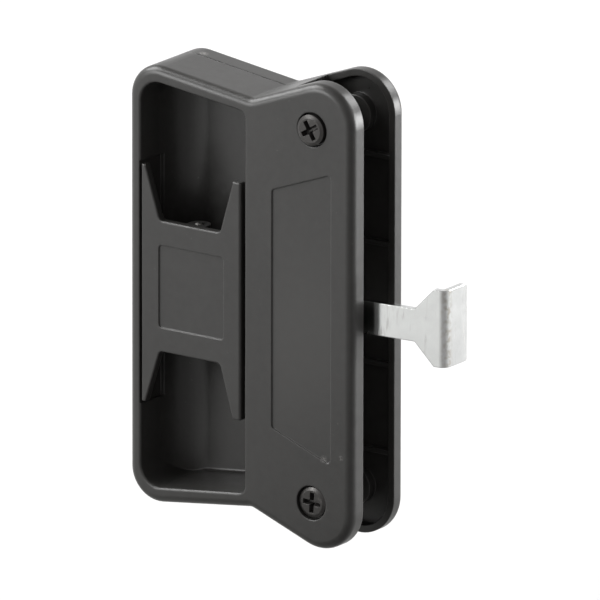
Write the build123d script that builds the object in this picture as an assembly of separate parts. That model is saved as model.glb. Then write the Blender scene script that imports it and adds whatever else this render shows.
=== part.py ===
from build123d import *
import math
import os

# Sliding screen door handle: a moulded front housing with a finger recess, a thin rear housing,
# a thumb rocker in the recess and a steel hook latch that it swings.
# Millimetres. X runs along the plate towards the latch, Y from the room through the door, Z up.
# The origin is midway between the two screw holes, on the plane that bears on the door stile.

# Fastening to the stile
hole_spacing = 95.25
stile_gap = 13.2
screw_clearance = 0.45

# Plate and cup outline, seen from the front
crease_to_screws = 18.7
cup_width = 36.5
plate_width = 30.8
crease_height = 104.5
cup_edge_angle = 7.6
plate_edge_angle = 20.5
cup_corner_radius = 8.4
plate_corner_radius = 10.3
crease_radius = 3.0

# Shells
front_flange_depth = 4.9
rear_flange_depth = 3.9
cup_seam_depth = 15.6
face_wall = 2.0
rear_wall = 1.4
rim_wall = 1.8
front_edge_radius = 2.1
rear_edge_radius = 1.5
seam_chamfer = 0.3
web_width = 10.5

# Finger recess
recess_left_rim = 3.5
recess_right_rim = 1.5
recess_top_rim = 3.7
recess_edge_angle = 7.0
recess_depth = 15.6
recess_floor_wall = 1.6
tub_wall = 1.2
tub_setback = 2.5
recess_cove_radius = 9.0
recess_corner_radius = 5.4
recess_small_radius = 2.0
recess_floor_radius = 0.8
recess_draft = 3.6
recess_lip_radius = 0.65

# Shallow panels on the faces
panel_depth = 0.35
plate_panel_left = 6.65
plate_panel_right = 24.4
plate_panel_half_left = 30.4
plate_panel_radius = 1.0

# Screw bosses and stiffening ribs
boss_radius = 4.8
rib_thickness = 1.2
rib_setback = 1.0
rib_heights = (15.4, 37.8)

# Plate screws
screw_shank_radius = 1.85
screw_head_radius = 3.9
screw_head_height = 2.2
screw_head_edge = 0.4
screw_head_sink = 0.2
screw_head_clearance = 0.5
screw_backed_out = {"screw_upper": 1.2, "screw_lower": 0.0}
screw_tip_wall = 1.2
screw_tip_gap = 0.4
thread_clearance = 0.05
cross_length = 5.2
cross_width = 1.3
cross_depth = 1.6
cross_taper = 14.0
cross_angles = {"screw_upper": 31.0, "screw_lower": -3.0}

# Thumb rocker
rocker_gap_left = 0.35
rocker_gap_right = 1.2
rocker_relief = 0.3
rocker_relief_depth = 9.0
ear_half_height = 30.4
ear_relief = 0.7
left_ear_tip = 1.1
right_ear_tip = 2.4
notch_half_height = 16.75
notch_left = 27.2
notch_right = 9.0
notch_radius = 1.4
rocker_thickness = 2.0
rocker_edge_radius = 0.4
rocker_front_roll = 0.7
skirt_depth = 3.6
skirt_thickness = 1.2
rocker_panel_left = 27.45
rocker_panel_right = 7.85
rocker_panel_half = 10.6
rocker_panel_radius = 1.0

# Pivot
pivot_to_crease = 18.5
pivot_depth = 4.8
pin_radius = 1.25
pin_running_clearance = 0.05
pin_seat_clearance = 0.02
pin_dome = 0.4
barrel_radius = 2.8
barrel_length = 7.3
barrel_setback = 0.45
post_side_gap = 0.3
post_thickness = 3.3
post_radius = 2.4

# Steel latch
latch_thickness = 1.6
latch_slant = 5.5
latch_half_height = 4.15
latch_offset = 1.1
latch_root = 4.0
latch_flare_length = 5.4
latch_flare_setback = 2.65
latch_head_half_height = 9.8
latch_bend_radius = 0.5
latch_reach = 70.05
hook_length = 8.2
hook_corner_radius = 0.6
latch_side_gap = 0.7

# Screws that hold the latch to the rocker
latch_screw_places = (6.2, 11.8)
latch_screw_radius = 0.95
latch_screw_length = 2.6
latch_screw_head_radius = 2.1
latch_screw_head_height = 1.4
latch_screw_hole_clearance = 0.12
latch_block_half_height = 4.6
latch_block_reach = 15.0

# Swing of the rocker about its pin, in degrees from flush
swing_open = -3.0
swing_latched = 8.0
swing_margin = 0.7

# Finger dish in the rear housing
dish_depth = 1.4
dish_wall = 1.4
dish_rim = 7.0
dish_corner_radius = 4.0
dish_lip_chamfer = 0.6

# Places worked out from the sizes above
crease_x = -crease_to_screws
cup_left_x = crease_x - cup_width
plate_right_x = crease_x + plate_width
web_right_x = crease_x + web_width
face_y = -front_flange_depth
parting_y = stile_gap
back_y = stile_gap + rear_flange_depth
recess_left_x = cup_left_x + recess_left_rim
recess_right_x = crease_x - recess_right_rim
recess_floor_y = face_y + recess_depth
seam_y = face_y + cup_seam_depth
tub_back_y = recess_floor_y + recess_floor_wall
pivot_x = crease_x - pivot_to_crease
pivot_y = face_y + pivot_depth
barrel_outer_z = notch_half_height - barrel_setback
barrel_inner_z = barrel_outer_z - barrel_length
post_outer_z = barrel_inner_z - post_side_gap
post_inner_z = post_outer_z - post_thickness
recess_shift = recess_depth * math.tan(math.radians(recess_draft))
latch_flare_end = latch_reach - latch_flare_setback
hole_z = hole_spacing / 2
boss_hole_radius = screw_shank_radius + thread_clearance
screw_hole_radius = screw_shank_radius + screw_clearance
counterbore_radius = screw_head_radius + screw_head_clearance
screw_head_y = face_y + screw_head_sink
overrun = 1.0


def crease_half(x, angle):
    """Half height of a taper that starts at the crease, at a distance x from it."""
    return crease_height / 2 + abs(x - crease_x) * math.tan(math.radians(angle))


def slab(sketch, y_front, y_back):
    """A sketch drawn in X and Z, made solid between two depths."""
    plane = Plane((0, y_front, 0), x_dir=(1, 0, 0), z_dir=(0, -1, 0))
    return extrude(plane * sketch, amount=y_front - y_back)


def upright(sketch, z_low, z_high):
    """A sketch drawn in X and Y, made solid between two heights."""
    return extrude(Plane.XY.offset(z_low) * sketch, amount=z_high - z_low)


def block(x_low, x_high, y_low, y_high, z_low, z_high):
    size = (x_high - x_low, y_high - y_low, z_high - z_low)
    middle = ((x_low + x_high) / 2, (y_low + y_high) / 2, (z_low + z_high) / 2)
    return Pos(*middle) * Box(*size)


def rod(radius, x, z, y_front, y_back):
    """A round bar along Y."""
    return slab(Pos(x, z) * Circle(radius), y_front, y_back)


def polygon(points):
    return make_face(Polyline(*points, close=True))


def rounded(sketch, rule, radius):
    """Rounds the corners of a sketch that a rule picks by their place."""
    return fillet([v for v in sketch.vertices() if rule(v.X, v.Y)], radius)


def mirrored_outline(points):
    """A closed outline from its upper half, the same above and below Z = 0."""
    lower = [(x, -z) for x, z in reversed(points)]
    return polygon(points + lower)


def handle_outline():
    upper = [
        (cup_left_x, crease_half(cup_left_x, cup_edge_angle)),
        (crease_x, crease_height / 2),
        (plate_right_x, crease_half(plate_right_x, plate_edge_angle)),
    ]
    shape = mirrored_outline(upper)
    shape = rounded(shape, lambda x, z: x < crease_x - cup_width / 2, cup_corner_radius)
    shape = rounded(shape, lambda x, z: x > crease_x + plate_width / 2 and abs(z) > crease_height / 2,
                    plate_corner_radius)
    return rounded(shape, lambda x, z: abs(x - crease_x) < 0.01, crease_radius)


def tapered_window(x_left, x_right, half_right, angle, corner_radius, small_radius):
    """A four-sided opening, taller at its left, with its own corner radii."""
    half_left = half_right + (x_right - x_left) * math.tan(math.radians(angle))
    shape = mirrored_outline([(x_left, half_left), (x_right, half_right)])
    middle = (x_left + x_right) / 2
    shape = rounded(shape, lambda x, z: x < middle and abs(abs(z) - half_left) < 0.01, corner_radius)
    return rounded(shape, lambda x, z: x > middle and abs(abs(z) - half_right) < 0.01, small_radius)


def recess_window():
    half_right = crease_half(recess_right_x, cup_edge_angle) - recess_top_rim
    return tapered_window(recess_left_x, recess_right_x, half_right, recess_edge_angle,
                          recess_corner_radius, recess_small_radius)


def recess_space():
    """The finger recess: drafted walls, and a wide cove between its left wall and its floor."""
    mouth = Plane((0, face_y, 0), x_dir=(1, 0, 0), z_dir=(0, -1, 0)) * recess_window()
    space = extrude(mouth, amount=-recess_depth, taper=recess_draft)
    space = fillet(space.faces().sort_by(Axis.Y)[-1].edges(), recess_floor_radius)
    section = polygon([(recess_left_x, face_y), (recess_right_x, face_y),
                       (recess_right_x, recess_floor_y), (recess_left_x + recess_shift, recess_floor_y)])
    middle = (recess_left_x + recess_right_x) / 2
    section = rounded(section, lambda x, y: y > face_y + 0.1 and x < middle, recess_cove_radius)
    return space & upright(section, -crease_height, crease_height)


def latch_line_y(x):
    """Depth of the middle of the latch's flat arm at a place along X."""
    return pivot_y - latch_offset + (x - pivot_x) * math.tan(math.radians(latch_slant))


def arm_slot(x_low, x_high):
    """Opening in an upright wall that the arm needs over its whole swing."""
    reach = (x_low + x_high) / 2 - pivot_x
    rest = latch_line_y(pivot_x + reach)
    margin = latch_thickness / 2 + swing_margin
    y_low = rest + reach * math.sin(math.radians(swing_open)) - margin
    y_high = rest + reach * math.sin(math.radians(swing_latched)) + margin
    half = latch_half_height + latch_side_gap
    return block(x_low - 0.1, x_high + 0.1, y_low, y_high, -half, half)


def pin_post(side):
    """One of the two posts on the recess floor that carry the pivot pin."""
    section = Pos(pivot_x, pivot_y) * Circle(post_radius)
    section += Pos(pivot_x, (pivot_y + recess_floor_y + recess_floor_wall / 2) / 2) * Rectangle(
        2 * post_radius, recess_floor_y + recess_floor_wall / 2 - pivot_y)
    section -= Pos(pivot_x, pivot_y) * Circle(pin_radius + pin_seat_clearance)
    z_low, z_high = sorted((side * post_inner_z, side * post_outer_z))
    return upright(section, z_low, z_high)


def plate_panel():
    half_right = plate_panel_half_left + (plate_panel_right - plate_panel_left) * math.tan(
        math.radians(plate_edge_angle))
    left = crease_x + plate_panel_left
    right = crease_x + plate_panel_right
    shape = mirrored_outline([(left, plate_panel_half_left), (right, half_right)])
    return fillet(shape.vertices(), plate_panel_radius)


def stiffening_ribs(x_low, x_high, y_low, y_high):
    ribs = Part()
    for height in rib_heights:
        for side in (-1, 1):
            middle = side * height
            half = rib_thickness / 2
            ribs += block(x_low, x_high, y_low, y_high, middle - half, middle + half)
    return ribs


def front_housing():
    outline = handle_outline()
    inside = offset(outline, -rim_wall)
    tall = crease_height
    body = slab(outline, face_y, seam_y)
    body = chamfer(body.faces().sort_by(Axis.Y)[-1].outer_wire().edges(), seam_chamfer)
    tub = slab(offset(recess_window(), tub_wall), seam_y - overrun, tub_back_y)
    body += tub & block(recess_left_x + tub_setback, crease_x, face_y, back_y, -tall, tall)
    body -= recess_space()
    face = body.faces().sort_by(Axis.Y)[0]
    body = fillet(face.outer_wire().edges(), front_edge_radius)
    face = body.faces().sort_by(Axis.Y)[0]
    body = fillet(face.inner_wires()[0].edges(), recess_lip_radius)
    body -= block(web_right_x, plate_right_x + overrun, 0, seam_y + overrun, -tall, tall)

    pocket_y = face_y + face_wall
    cavity_y = seam_y + overrun
    pocket = slab(inside, pocket_y, overrun)
    pocket &= block(web_right_x, plate_right_x, pocket_y, overrun, -tall, tall)
    cavity = slab(inside, pocket_y, cavity_y)
    cavity &= block(recess_right_x + rim_wall, web_right_x - rim_wall, pocket_y, cavity_y, -tall, tall)
    pocket_ribs = stiffening_ribs(web_right_x, plate_right_x - rim_wall, pocket_y, -rib_setback)
    for side in (-1, 1):
        pocket -= rod(boss_radius, 0, side * hole_z, pocket_y, overrun)
    body -= pocket - pocket_ribs
    body -= cavity
    for side in (-1, 1):
        body += pin_post(side)
        body -= rod(counterbore_radius, 0, side * hole_z, face_y - overrun, screw_head_y + screw_head_height)
        body -= rod(screw_hole_radius, 0, side * hole_z, face_y, overrun)

    relief = ear_half_height + ear_relief
    body -= block(recess_left_x - rocker_relief, recess_left_x + overrun,
                  face_y - overrun, face_y + rocker_relief_depth, -relief, relief)
    body -= slab(plate_panel(), face_y - overrun, face_y + panel_depth)
    body -= arm_slot(recess_right_x - recess_shift, recess_right_x + rim_wall)
    body -= arm_slot(web_right_x - rim_wall, web_right_x)
    return body


def rear_dish(grow, depth):
    """The shallow finger dish, or with grow and depth added the solid around it."""
    left = cup_left_x + dish_rim - grow
    right = crease_x - dish_rim + grow
    half_right = crease_half(right, cup_edge_angle) - dish_rim + grow
    window = tapered_window(left, right, half_right, cup_edge_angle,
                            dish_corner_radius + grow, dish_corner_radius + grow)
    return slab(window, back_y - depth, back_y + overrun)


def rear_shell(y_front):
    """The rear outline from a given depth to the back, edges finished."""
    shell = slab(handle_outline(), y_front, back_y)
    shell = fillet(shell.faces().sort_by(Axis.Y)[-1].outer_wire().edges(), rear_edge_radius)
    return chamfer(shell.faces().sort_by(Axis.Y)[0].outer_wire().edges(), seam_chamfer)


def rear_housing():
    """A tray whose rim stands taller round the cup, where it meets the front housing."""
    tall = crease_height
    body = rear_shell(seam_y)
    body -= block(web_right_x, plate_right_x + overrun, seam_y - overrun, parting_y, -tall, tall)
    body += rear_shell(parting_y)
    floor_y = back_y - rear_wall
    hollow = slab(offset(handle_outline(), -rim_wall), seam_y - overrun, floor_y)
    hollow -= block(web_right_x - rim_wall, web_right_x, seam_y - overrun, floor_y, -tall, tall)
    hollow -= stiffening_ribs(web_right_x, plate_right_x - rim_wall, parting_y + rib_setback, floor_y)
    hollow -= rear_dish(dish_wall, dish_depth + dish_wall)
    for side in (-1, 1):
        hollow -= rod(boss_radius, 0, side * hole_z, parting_y, floor_y)
    body -= hollow
    dish = rear_dish(0, dish_depth)
    body -= dish
    lip_faces = body.faces().filter_by(Plane.XZ).sort_by(Axis.Y)[-1]
    body = chamfer(lip_faces.inner_wires()[0].edges(), dish_lip_chamfer)
    for side in (-1, 1):
        body -= rod(boss_hole_radius, 0, side * hole_z, parting_y - overrun, back_y - screw_tip_wall)
    return body


def rocker_outline():
    left = recess_left_x + rocker_gap_left
    right = recess_right_x - rocker_gap_right
    upper = [
        (left, ear_half_height),
        (left + left_ear_tip, ear_half_height),
        (crease_x - notch_left, notch_half_height),
        (crease_x - notch_right, notch_half_height),
        (right - right_ear_tip, ear_half_height),
        (right, ear_half_height),
    ]
    shape = mirrored_outline(upper)
    return rounded(shape, lambda x, z: abs(abs(z) - notch_half_height) < 0.01, notch_radius)


def rocker_panel():
    left = crease_x - rocker_panel_left
    right = crease_x - rocker_panel_right
    shape = mirrored_outline([(left, rocker_panel_half), (right, rocker_panel_half)])
    return fillet(shape.vertices(), rocker_panel_radius)


def thumb_rocker():
    left = recess_left_x + rocker_gap_left
    right = recess_right_x - rocker_gap_right
    back = face_y + rocker_thickness
    body = slab(rocker_outline(), face_y, back)
    body = fillet(body.edges().group_by(Axis.Y)[0].sort_by(Axis.X)[-1], rocker_front_roll)
    body = fillet(body.edges().group_by(Axis.Y)[0].sort_by(Axis.X)[:-1], rocker_edge_radius)
    skirt_tall = notch_half_height
    for x_low in (left, right - skirt_thickness):
        body += block(x_low, x_low + skirt_thickness, back, face_y + skirt_depth, -skirt_tall, skirt_tall)

    barrel = Pos(pivot_x, pivot_y) * Circle(barrel_radius)
    barrel += Pos(pivot_x, (back + pivot_y) / 2) * Rectangle(2 * barrel_radius, pivot_y - back)
    for side in (-1, 1):
        z_low, z_high = sorted((side * barrel_inner_z, side * barrel_outer_z))
        body += upright(barrel, z_low, z_high)
    slope = math.tan(math.radians(latch_slant))
    seat_left = pivot_x
    seat_right = pivot_x + latch_block_reach
    half_steel = latch_thickness / 2 / math.cos(math.radians(latch_slant))
    seat = polygon([
        (seat_left, back - overrun),
        (seat_right, back - overrun),
        (seat_right, latch_line_y(seat_right) - half_steel),
        (seat_left, latch_line_y(seat_right) - half_steel - (seat_right - seat_left) * slope),
    ])
    body += upright(seat, -latch_block_half_height, latch_block_half_height)
    body -= upright(Pos(pivot_x, pivot_y) * Circle(pin_radius + pin_running_clearance),
                    -barrel_outer_z - overrun, barrel_outer_z + overrun)
    arm = arm_plane()
    room = arm * Pos(latch_root - 0.1 + latch_reach / 2, 0, 0) * Box(
        latch_reach, 2 * (latch_half_height + 0.15), latch_thickness)
    body -= room
    for place in latch_screw_places:
        depth = latch_screw_length + thread_clearance
        hole = arm * Pos(place, 0, latch_thickness / 2 + depth / 2) * Cylinder(
            latch_screw_radius + thread_clearance, depth)
        body -= hole
    body -= slab(rocker_panel(), face_y - overrun, face_y + panel_depth)
    return body


def arm_plane():
    """Plane in the middle of the latch's flat arm: local X along it, local Y up, local Z to the room."""
    angle = math.radians(latch_slant)
    return Plane((pivot_x, latch_line_y(pivot_x), 0), x_dir=(math.cos(angle), math.sin(angle), 0),
                 z_dir=(math.sin(angle), -math.cos(angle), 0))


def latch_hook():
    angle = math.radians(latch_slant)
    along = Vector(math.cos(angle), math.sin(angle))
    start = Vector(pivot_x, latch_line_y(pivot_x)) + along * latch_root
    corner = Vector(pivot_x, latch_line_y(pivot_x)) + along * latch_reach
    end = corner + Vector(0, hook_length)
    path = FilletPolyline(start, corner, end, radius=latch_bend_radius + latch_thickness / 2)
    strip = upright(trace(path, latch_thickness), -latch_head_half_height, latch_head_half_height)

    far = latch_reach + hook_length
    flat = mirrored_outline([
        (latch_root - overrun, latch_half_height),
        (latch_flare_end - latch_flare_length, latch_half_height),
        (latch_flare_end, latch_head_half_height),
        (far, latch_head_half_height),
    ])
    strip &= extrude(arm_plane() * flat, amount=far, both=True)
    tips = strip.edges().filter_by(Axis.X, tolerance=1).group_by(Axis.Y)[-1]
    strip = fillet(tips, hook_corner_radius)
    for place in latch_screw_places:
        strip -= arm_plane() * Pos(place, 0, 0) * Cylinder(
            latch_screw_radius + latch_screw_hole_clearance, 3 * latch_thickness)
    return strip


def latch_screw(place):
    """Small screw through the latch into the rocker's back, its head behind the steel."""
    back_of_steel = arm_plane() * Pos(place, 0, -latch_thickness / 2)
    shank_length = latch_thickness + latch_screw_length
    shank = back_of_steel * Pos(0, 0, shank_length / 2) * Cylinder(latch_screw_radius, shank_length)
    head_height = latch_screw_head_height
    head = Pos(0, 0, -head_height / 2) * Cylinder(latch_screw_head_radius, head_height)
    head = chamfer(head.edges().sort_by(Axis.Z)[0], head_height / 2.5)
    cross = Rectangle(latch_screw_head_radius * 1.2, latch_screw_head_radius * 0.28)
    cross += Rectangle(latch_screw_head_radius * 0.28, latch_screw_head_radius * 1.2)
    head -= extrude(Plane((0, 0, -head_height)) * cross, amount=head_height / 2)
    return shank + back_of_steel * head


def pivot_pin():
    half = barrel_outer_z + pin_dome
    pin = Pos(pivot_x, pivot_y, 0) * Cylinder(pin_radius, 2 * half)
    return chamfer(pin.edges().filter_by(GeomType.CIRCLE), pin_dome)


def plate_screw(name, side):
    """Cross-recess screw from the front plate into the boss of the rear housing."""
    head = Pos(0, 0, -screw_head_height / 2) * Cylinder(screw_head_radius, screw_head_height)
    head = chamfer(head.edges().sort_by(Axis.Z)[-1], screw_head_edge, 2 * screw_head_edge)
    cross = Rectangle(cross_length, cross_width) + Rectangle(cross_width, cross_length)
    cross = Rot(0, 0, cross_angles[name]) * cross
    head -= extrude(cross, amount=-cross_depth, taper=cross_taper)
    shank_length = back_y - screw_tip_wall - screw_tip_gap - screw_head_y - screw_head_height
    shank = Pos(0, 0, -screw_head_height - shank_length / 2) * Cylinder(screw_shank_radius, shank_length)
    shank = chamfer(shank.edges().sort_by(Axis.Z)[0], screw_tip_gap)
    head_y = screw_head_y - screw_backed_out[name]
    place = Plane((0, head_y, side * hole_z), x_dir=(1, 0, 0), z_dir=(0, -1, 0))
    return place * (head + shank)


parts = {
    "front_housing": front_housing(),
    "rear_housing": rear_housing(),
    "thumb_rocker": thumb_rocker(),
    "latch_hook": latch_hook(),
    "pivot_pin": pivot_pin(),
    "latch_screw_inner": latch_screw(latch_screw_places[0]),
    "latch_screw_outer": latch_screw(latch_screw_places[1]),
    "screw_upper": plate_screw("screw_upper", 1),
    "screw_lower": plate_screw("screw_lower", -1),
}

os.makedirs("parts", exist_ok=True)
for name, solid in parts.items():
    export_step(solid, f"parts/{name}.step")
    box = solid.bounding_box()
    print(name, len(solid.solids()), round(solid.volume, 1), [round(v, 2) for v in (*box.min, *box.max)])
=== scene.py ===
import math

import bpy
from mathutils import Matrix, Vector

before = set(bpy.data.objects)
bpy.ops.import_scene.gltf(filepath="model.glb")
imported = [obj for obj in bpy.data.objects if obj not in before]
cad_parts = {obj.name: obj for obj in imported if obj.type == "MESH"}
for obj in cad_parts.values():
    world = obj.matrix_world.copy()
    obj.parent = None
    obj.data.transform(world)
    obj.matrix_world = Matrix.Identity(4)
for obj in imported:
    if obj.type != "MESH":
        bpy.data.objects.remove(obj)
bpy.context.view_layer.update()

MM = 0.001

# The photograph's view. The camera looks at the crease of the front face, which stands left of the
# picture's middle by VIEW_RIGHT.
CREASE = Vector((-18.7, -4.9, 0)) * MM
VIEW_AZIMUTH = math.radians(35.38)
VIEW_ELEVATION = math.radians(16.40)
VIEW_ROLL = math.radians(0.09)
VIEW_DISTANCE = 5000 * MM
VIEW_RIGHT = 12.43 * MM
VIEW_UP = 1.07 * MM
VIEW_CLIP_END = 50
LENS_MM = 1223.1
SENSOR_MM = 36.0

# Tints, as red, green and blue
SHELL_TINT = (0.0235, 0.0232, 0.0222)
ROCKER_TINT = (0.0237, 0.0234, 0.0225)
ZINC_TINT = (0.66, 0.67, 0.665)
DULL_STEEL_TINT = (0.12, 0.118, 0.114)
BLACK_STEEL_TINT = (0.05, 0.048, 0.046)

# Colours of dirt and wear
DUST = (0.14, 0.136, 0.13, 1)
# The scuff colour is also that of a painted glint
SCUFF_AND_GLINT = (0.36, 0.35, 0.34, 1)
RUBBED_EDGE = (0.085, 0.084, 0.082, 1)
SCRATCH = (0.4, 0.39, 0.37, 1)
GRIME = (0.4, 0.37, 0.32, 1)

# How much of those colours shows at most
DUST_SHARE = 0.3
RUBBED_SHARE = 0.5
SCRATCH_SHARE = 0.35
GRIME_SHARE = 0.7

# Finishes
PLASTIC_ROUGHNESS = 0.34
PLASTIC_IOR = 1.44
ZINC_ROUGHNESS = 0.13
DULL_STEEL_ROUGHNESS = 0.5
DULL_STEEL_METALLIC = 1.0
BLACK_STEEL_ROUGHNESS = 0.34
BLACK_STEEL_METALLIC = 0.6

# Noise: scale, detail, roughness
PLASTIC_GRAIN = (1900, 4.0, 0.65)
PLASTIC_CLOUD = (35, 5.0, 0.62)
PLASTIC_MOTTLE = (420, 4.0, 0.7)
DUST_SPECKS = (1100, 2.0, 0.5)
SCUFF_AND_GLINT_GAPS = (2300, 3.0, 0.6)
ROLLED_GRAIN = (2400, 3.0, 0.6)
ZINC_SPANGLE = (190, 5.0, 0.7)
CROSS_SCRATCHES = (520, 3.0, 0.6)
SLANTED_SCRATCHES = (700, 3.0, 0.6)
BEND_STAINS = (700, 4.0, 0.7)
STEEL_CLOUD = (600, 4.0, 0.65)
STEEL_GRAIN = (3000, 3.0, 0.6)

# Bumps: strength, height
MOTTLE_BUMP = (0.25, 0.02 * MM)
GRAIN_BUMP = (0.5, 0.02 * MM)
ROLLED_BUMP = (0.15, 0.01 * MM)
SPANGLE_BUMP = (0.12, 0.06 * MM)
SCRATCH_BUMP = (0.25, -0.02 * MM)
STEEL_BUMP = (0.4, 0.012 * MM)

# Softened edges: radius, samples
PLASTIC_EDGE = (0.45 * MM, 6)
STRIP_EDGE = (0.3 * MM, 4)
SMALL_EDGE = (0.15 * MM, 4)

# Wear and painted light, in millimetres. A spot is its place, its reach and its strength, and it is
# even in its core.
# The bend is an upright line, so its height counts for nothing. The painted sheen keeps to the
# panel's floor:
# it is full within PANEL_NEAR of the floor's depth and gone at PANEL_OFF.
SPOT_CORE = 0.25
BEND_PLACE = (33.1, 5.9, 0)
BEND_REACH = 2.0
# Painted sheen: a paler spot in the middle of the flange panel's floor, standing in for light it
# reflects there
PANEL_PAINTED_SHEEN = ((-3.2, -4.55, -6.0), 34.0, 0.42)
PANEL_NEAR, PANEL_OFF = 0.1, 0.2
SHELL_SCUFFS_AND_GLINT = (
    ((3.5, -4.9, -35.8), 1.1, 0.5),
    ((8.9, -4.9, -34.6), 0.8, 0.4),
    # Not a scuff: a painted glint on the rounded top corner by the seam
    ((-44.8, 12.2, 55.7), 1.5, 0.6),
)

# Surroundings: a dark cloth right of the camera, pale elsewhere, and darker overhead
CLOTH_AZIMUTH = math.radians(50)
CLOTH_LEVEL = 0.45
PALE_LEVEL = 1.16
OVERHEAD_LEVEL = 0.3
OVERHEAD_FROM, OVERHEAD_TO = 0.4, 0.9
SKY_TINT = (1, 0.962, 0.952, 1)
WHITE = (1, 1, 1, 1)

# Floor, in metres, with the cloth's foot and a painted shadow in front of the object
FLOOR_Z = -0.10
FLOOR_SIZE = 6.0
FLOOR_PALE = (0.53, 0.54, 0.52, 1)
FLOOR_CLOTH = (0.32, 0.32, 0.32, 1)
FLOOR_PAINTED_SHADOW = (0.05, 0.05, 0.05, 1)
PAINTED_SHADOW_PLACE = (-0.02, -0.07, 0)
PAINTED_SHADOW_FROM, PAINTED_SHADOW_TO = 0.03, 0.24
PAINTED_SHADOW_SHARE = 0.75

# The floor as the camera sees it: matt, with a glow that grows with distance, where the lamps fade
FLOOR_MATT = (0.27, 0.27, 0.27, 1)
GLOW_FROM, GLOW_TO = 0.2, 1.2
GLOW_NEAR, GLOW_FAR = 0.57, 0.95

# Lamps: name, azimuth, elevation, distance, side length, brightness of the face
LAMPS = (
    ("left_light", -75, 43, 0.9, 0.5, 10.0),
    ("back_light", 158, 33, 0.9, 0.35, 9.5),
    ("right_back_light", 134, -2, 1.0, 0.55, 17.5),
    ("front_light", -35, 19, 0.8, 0.36, 8.8),
)


def toward(azimuth, elevation):
    """Unit vector from the object to a side of it, in radians. Azimuth 0 is the front."""
    level = math.cos(elevation)
    return Vector((math.sin(azimuth) * level, -math.cos(azimuth) * level, math.sin(elevation)))


def shade(tint, factor):
    """A tint made darker or paler, as a colour."""
    return tuple(c * factor for c in tint) + (1,)


def add_camera():
    """Camera at the photograph's angle, distance and framing."""
    back = toward(VIEW_AZIMUTH, VIEW_ELEVATION)
    level = Vector((math.cos(VIEW_AZIMUTH), math.sin(VIEW_AZIMUTH), 0))
    upright = back.cross(level)
    right = level * math.cos(VIEW_ROLL) + upright * math.sin(VIEW_ROLL)
    up = back.cross(right)
    data = bpy.data.cameras.new("photo_camera")
    data.lens = LENS_MM
    data.sensor_width = SENSOR_MM
    data.clip_end = VIEW_CLIP_END
    camera = bpy.data.objects.new("photo_camera", data)
    bpy.context.collection.objects.link(camera)
    turn = Matrix((right, up, back)).transposed().to_4x4()
    place = CREASE + right * VIEW_RIGHT + up * VIEW_UP + back * VIEW_DISTANCE
    camera.matrix_world = Matrix.Translation(place) @ turn
    bpy.context.scene.camera = camera


class Nodes:
    """Short way to build a node tree."""

    def __init__(self, owner):
        owner.use_nodes = True
        self.tree = owner.node_tree
        self.tree.nodes.clear()

    def plug(self, socket, value):
        """Links a socket to another, or sets its value."""
        if isinstance(value, bpy.types.NodeSocket):
            self.tree.links.new(value, socket)
        else:
            socket.default_value = value

    def add(self, kind, inputs=None, **settings):
        node = self.tree.nodes.new(kind)
        for name, value in settings.items():
            setattr(node, name, value)
        for name, value in (inputs or {}).items():
            self.plug(node.inputs[name], value)
        return node

    def position(self):
        return self.add("ShaderNodeTexCoord").outputs["Object"]

    def noise(self, where, pattern):
        scale, detail, roughness = pattern
        inputs = {"Vector": where, "Scale": scale, "Detail": detail, "Roughness": roughness}
        return self.add("ShaderNodeTexNoise", inputs).outputs["Fac"]

    def stretched(self, where, scale, rotation=(0, 0, 0)):
        inputs = {"Vector": where, "Scale": scale, "Rotation": rotation}
        return self.add("ShaderNodeMapping", inputs).outputs["Vector"]

    def remap(self, value, low, high, to_low=0.0, to_high=1.0):
        inputs = {"Value": value, "From Min": low, "From Max": high,
                  "To Min": to_low, "To Max": to_high}
        return self.add("ShaderNodeMapRange", inputs, clamp=True).outputs["Result"]

    def math(self, operation, *values):
        inputs = dict(enumerate(values))
        return self.add("ShaderNodeMath", inputs, operation=operation).outputs[0]

    def times(self, first, second):
        return self.math("MULTIPLY", first, second)

    def vector(self, operation, *values):
        """Outputs of a vector operation: Vector, or Value for one that gives a number."""
        inputs = dict(enumerate(values))
        return self.add("ShaderNodeVectorMath", inputs, operation=operation).outputs

    def level_part(self, where):
        """A place with its height left out."""
        return self.vector("MULTIPLY", where, (1, 1, 0))["Vector"]

    def blend(self, factor, first, second):
        node = self.add("ShaderNodeMix", data_type="RGBA")
        for name, value in (("Factor_Float", factor), ("A_Color", first), ("B_Color", second)):
            self.plug(next(s for s in node.inputs if s.identifier == name), value)
        return next(s for s in node.outputs if s.identifier == "Result_Color")

    def bevel(self, edge):
        radius, samples = edge
        return self.add("ShaderNodeBevel", {"Radius": radius}, samples=samples).outputs["Normal"]

    def bump(self, height, bump, normal):
        strength, distance = bump
        inputs = {"Height": height, "Strength": strength, "Distance": distance, "Normal": normal}
        return self.add("ShaderNodeBump", inputs).outputs["Normal"]

    def mix(self, factor, first, second):
        return self.add("ShaderNodeMixShader", {0: factor, 1: first, 2: second}).outputs[0]

    def finish(self, shader, kind="ShaderNodeOutputMaterial"):
        self.add(kind, {"Surface": shader})

    def principled(self, colour, rough, normal, constants):
        inputs = {"Base Color": colour, "Roughness": rough, "Normal": normal, **constants}
        self.finish(self.add("ShaderNodeBsdfPrincipled", inputs).outputs[0])


def soft_spot(n, where, centre, radius):
    """1 round a place, falling to 0 at the radius, both in millimetres."""
    middle = tuple(value * MM for value in centre)
    away = n.vector("DISTANCE", where, middle)["Value"]
    return n.remap(away, SPOT_CORE * radius * MM, radius * MM, 1.0, 0.0)


def panel_painted_sheen(n, where, painted_sheen):
    """How strongly the painted sheen pales the middle of the flange panel's floor; 0 off that
    floor.
    """
    centre, reach, strength = painted_sheen
    depth = n.add("ShaderNodeSeparateXYZ", {0: where}).outputs["Y"]
    off = n.math("ABSOLUTE", n.math("SUBTRACT", depth, centre[1] * MM))
    on_floor = n.remap(off, PANEL_NEAR * MM, PANEL_OFF * MM, strength, 0.0)
    return n.times(on_floor, soft_spot(n, where, centre, reach))


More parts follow.
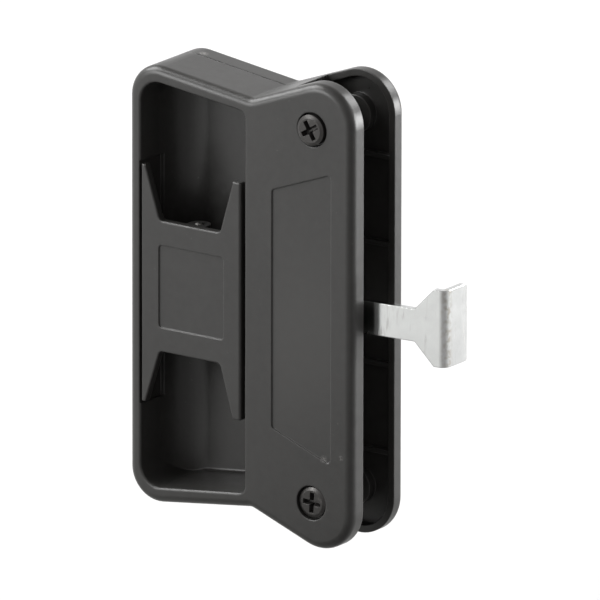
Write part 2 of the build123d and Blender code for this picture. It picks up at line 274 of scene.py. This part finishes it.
def moulded_plastic(name, tint, scuffs_and_glint=(), painted_sheen=None):
    """Satin black moulding: fine grain, slow sheen changes, rubbed edges and dust, and the scuff
    marks, a painted glint and a painted sheen on the panel, where they are given."""
    material = bpy.data.materials.new(name)
    n = Nodes(material)
    where = n.position()
    grain = n.noise(where, PLASTIC_GRAIN)
    cloud = n.noise(where, PLASTIC_CLOUD)
    mottle = n.noise(where, PLASTIC_MOTTLE)

    colour = n.blend(n.remap(cloud, 0.2, 0.8), shade(tint, 0.82), shade(tint, 1.18))
    colour = n.blend(n.remap(mottle, 0.2, 0.8, 0.0, 0.5), colour, shade(tint, 1.7))
    # Painted sheen: the middle of the panel's floor is painted up to twice as pale
    if painted_sheen:
        colour = n.blend(panel_painted_sheen(n, where, painted_sheen), colour, shade(tint, 2.0))
    specks = n.remap(n.noise(where, DUST_SPECKS), 0.74, 0.82, 0.0, DUST_SHARE)
    colour = n.blend(specks, colour, DUST)
    # Pale marks: real scuffs, and a painted glint where one is given
    for centre, radius, strength in scuffs_and_glint:
        gaps = n.remap(n.noise(where, SCUFF_AND_GLINT_GAPS), 0.4, 0.62)
        mark = n.times(soft_spot(n, where, centre, radius), gaps)
        colour = n.blend(n.times(mark, strength), colour, SCUFF_AND_GLINT)

    # An edge is where the softened normal leaves the face's own
    soft_edge = n.bevel(PLASTIC_EDGE)
    face = n.add("ShaderNodeNewGeometry").outputs["Normal"]
    same = n.vector("DOT_PRODUCT", soft_edge, face)["Value"]
    edge = n.remap(same, 0.75, 0.97, 1.0, 0.0)
    rubbed = n.times(edge, n.remap(mottle, 0.3, 0.65, 0.3, 1.0))
    colour = n.blend(n.times(rubbed, RUBBED_SHARE), colour, RUBBED_EDGE)

    rough = n.remap(mottle, 0.25, 0.75, PLASTIC_ROUGHNESS - 0.05, PLASTIC_ROUGHNESS + 0.05)
    rough = n.math("ADD", rough, n.remap(cloud, 0.25, 0.75, -0.03, 0.03))
    rough = n.math("SUBTRACT", rough, n.times(rubbed, 0.06))

    normal = n.bump(mottle, MOTTLE_BUMP, soft_edge)
    normal = n.bump(grain, GRAIN_BUMP, normal)
    n.principled(colour, rough, normal, {"IOR": PLASTIC_IOR})
    return material


def steel_strip(name, tint):
    """Zinc-plated strip: rolled grain, soft spangle, scratches both ways, and grime at the bend."""
    material = bpy.data.materials.new(name)
    n = Nodes(material)
    where = n.position()
    across = n.stretched(where, (1, 1, 0.16))
    slanted = n.stretched(where, (1, 1, 0.1), (0.3, 0.9, 0.2))
    rolled = n.noise(n.stretched(where, (0.06, 1, 1)), ROLLED_GRAIN)
    spangle = n.noise(where, ZINC_SPANGLE)
    marks = n.math("MAXIMUM",
                   n.remap(n.noise(across, CROSS_SCRATCHES), 0.6, 0.68),
                   n.remap(n.noise(slanted, SLANTED_SCRATCHES), 0.63, 0.7))

    colour = n.blend(n.remap(spangle, 0.25, 0.75), shade(tint, 0.88), shade(tint, 1.0))
    colour = n.blend(n.times(marks, SCRATCH_SHARE), colour, SCRATCH)
    bend = soft_spot(n, n.level_part(where), BEND_PLACE, BEND_REACH)
    stains = n.times(bend, n.remap(n.noise(where, BEND_STAINS), 0.46, 0.6))
    colour = n.blend(n.times(stains, GRIME_SHARE), colour, GRIME)

    rough = n.remap(spangle, 0.3, 0.7, ZINC_ROUGHNESS - 0.03, ZINC_ROUGHNESS + 0.05)
    rough = n.math("ADD", rough, n.times(marks, 0.12))
    normal = n.bump(rolled, ROLLED_BUMP, n.bevel(STRIP_EDGE))
    normal = n.bump(spangle, SPANGLE_BUMP, normal)
    normal = n.bump(marks, SCRATCH_BUMP, normal)
    n.principled(colour, rough, normal, {"Metallic": 1.0})
    return material


def turned_steel(name, tint, roughness, metallic):
    """Small steel parts: turned or pressed, a little rubbed and stained."""
    material = bpy.data.materials.new(name)
    n = Nodes(material)
    where = n.position()
    cloud = n.noise(where, STEEL_CLOUD)
    colour = n.blend(n.remap(cloud, 0.55, 0.72), shade(tint, 0.85), shade(tint, 1.8))
    rough = n.remap(cloud, 0.3, 0.7, roughness + 0.05, roughness - 0.06)
    normal = n.bump(n.noise(where, STEEL_GRAIN), STEEL_BUMP, n.bevel(SMALL_EDGE))
    n.principled(colour, rough, normal, {"Metallic": metallic})
    return material


def dress(material, *nodes):
    """Puts a material on every slot of the CAD nodes."""
    for node in nodes:
        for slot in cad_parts[node].material_slots:
            slot.material = material


def darkness(n, direction):
    """0 in the pale surroundings, rising to 1 towards the middle of the dark cloth."""
    unit = n.vector("NORMALIZE", direction)["Vector"]
    dot = n.vector("DOT_PRODUCT", unit, toward(CLOTH_AZIMUTH, 0))["Value"]
    return n.remap(dot, 0.05, 0.95)


def background_share(n, dark, also_dark):
    """1 for the camera's rays. Mirrored and refracted rays see the same white background, except
    where it is dark."""
    path = n.add("ShaderNodeLightPath").outputs
    bounced = n.math("MAXIMUM", path["Is Glossy Ray"], path["Is Transmission Ray"])
    pale = n.math("SUBTRACT", 1.0, n.math("MAXIMUM", dark, also_dark))
    return n.math("MAXIMUM", path["Is Camera Ray"], n.times(bounced, pale))


def floor_material():
    """White for the camera with the shadow kept, and nothing at all from below. Other rays see it
    pale, with the cloth's foot and the painted shadow."""
    material = bpy.data.materials.new("floor_white")
    n = Nodes(material)
    geometry = n.add("ShaderNodeNewGeometry").outputs
    flat = n.level_part(geometry["Position"])
    away = n.vector("DISTANCE", flat, PAINTED_SHADOW_PLACE)["Value"]
    dark = darkness(n, flat)
    # Painted shadow: the floor is painted dark round a place in front of the object
    painted_shadow = n.remap(away, PAINTED_SHADOW_FROM, PAINTED_SHADOW_TO, 1.0, 0.0)
    colour = n.blend(dark, FLOOR_PALE, FLOOR_CLOTH)
    colour = n.blend(n.times(painted_shadow, PAINTED_SHADOW_SHARE), colour, FLOOR_PAINTED_SHADOW)
    unseen = n.add("ShaderNodeBsdfDiffuse", {"Color": colour}).outputs[0]

    matt = n.add("ShaderNodeBsdfDiffuse", {"Color": FLOOR_MATT}).outputs[0]
    strength = n.remap(away, GLOW_FROM, GLOW_TO, GLOW_NEAR, GLOW_FAR)
    glow = n.add("ShaderNodeEmission", {"Color": WHITE, "Strength": strength}).outputs[0]
    seen = n.add("ShaderNodeAddShader", {0: matt, 1: glow}).outputs[0]
    clear = n.add("ShaderNodeBsdfTransparent").outputs[0]
    seen = n.mix(geometry["Backfacing"], seen, clear)
    n.finish(n.mix(background_share(n, dark, painted_shadow), unseen, seen))
    return material


def add_floor():
    """One large square under the object."""
    half = FLOOR_SIZE / 2
    plan = ((-half, -half), (half, -half), (half, half), (-half, half))
    mesh = bpy.data.meshes.new("floor")
    mesh.from_pydata([(x, y, FLOOR_Z) for x, y in plan], [], [(0, 1, 2, 3)])
    mesh.materials.append(floor_material())
    floor = bpy.data.objects.new("floor", mesh)
    bpy.context.collection.objects.link(floor)


def add_world():
    """Studio surroundings: white for the camera; pale, dark and overhead levels for the light."""
    world = bpy.data.worlds.new("studio")
    bpy.context.scene.world = world
    n = Nodes(world)
    direction = n.add("ShaderNodeTexCoord").outputs["Generated"]
    height = n.add("ShaderNodeSeparateXYZ", {0: direction}).outputs["Z"]
    dark = darkness(n, direction)
    level = n.times(n.remap(dark, 0.0, 1.0, PALE_LEVEL, CLOTH_LEVEL),
                    n.remap(height, OVERHEAD_FROM, OVERHEAD_TO, 1.0, OVERHEAD_LEVEL))
    overhead = n.remap(height, OVERHEAD_FROM, OVERHEAD_TO)
    lit = n.add("ShaderNodeBackground", {"Color": SKY_TINT, "Strength": level}).outputs[0]
    seen = n.add("ShaderNodeBackground", {"Color": WHITE, "Strength": 1.0}).outputs[0]
    n.finish(n.mix(background_share(n, dark, overhead), lit, seen), "ShaderNodeOutputWorld")


def add_softbox(name, azimuth, elevation, distance, size, strength):
    """Square lamp that looks at the object; strength is the brightness of its face."""
    back = toward(math.radians(azimuth), math.radians(elevation))
    data = bpy.data.lights.new(name, "AREA")
    data.shape = "SQUARE"
    data.size = size
    data.energy = strength * math.pi * size * size
    lamp = bpy.data.objects.new(name, data)
    bpy.context.collection.objects.link(lamp)
    lamp.location = back * distance
    lamp.rotation_euler = back.to_track_quat("Z", "Y").to_euler()


add_camera()
add_world()
add_floor()
for lamp in LAMPS:
    add_softbox(*lamp)

shell = moulded_plastic("shell_black", SHELL_TINT, SHELL_SCUFFS_AND_GLINT, PANEL_PAINTED_SHEEN)
rocker_black = moulded_plastic("rocker_black", ROCKER_TINT)
latch_zinc = steel_strip("latch_zinc", ZINC_TINT)
small_steel = turned_steel(
    "small_steel", DULL_STEEL_TINT, DULL_STEEL_ROUGHNESS, DULL_STEEL_METALLIC)
screw_black = turned_steel(
    "screw_black", BLACK_STEEL_TINT, BLACK_STEEL_ROUGHNESS, BLACK_STEEL_METALLIC)
dress(shell, "front_housing", "rear_housing")
dress(rocker_black, "thumb_rocker")
dress(latch_zinc, "latch_hook")
dress(small_steel, "latch_screw_inner", "latch_screw_outer", "pivot_pin")
dress(screw_black, "screw_upper", "screw_lower")

bpy.context.scene.view_settings.view_transform = "Standard"
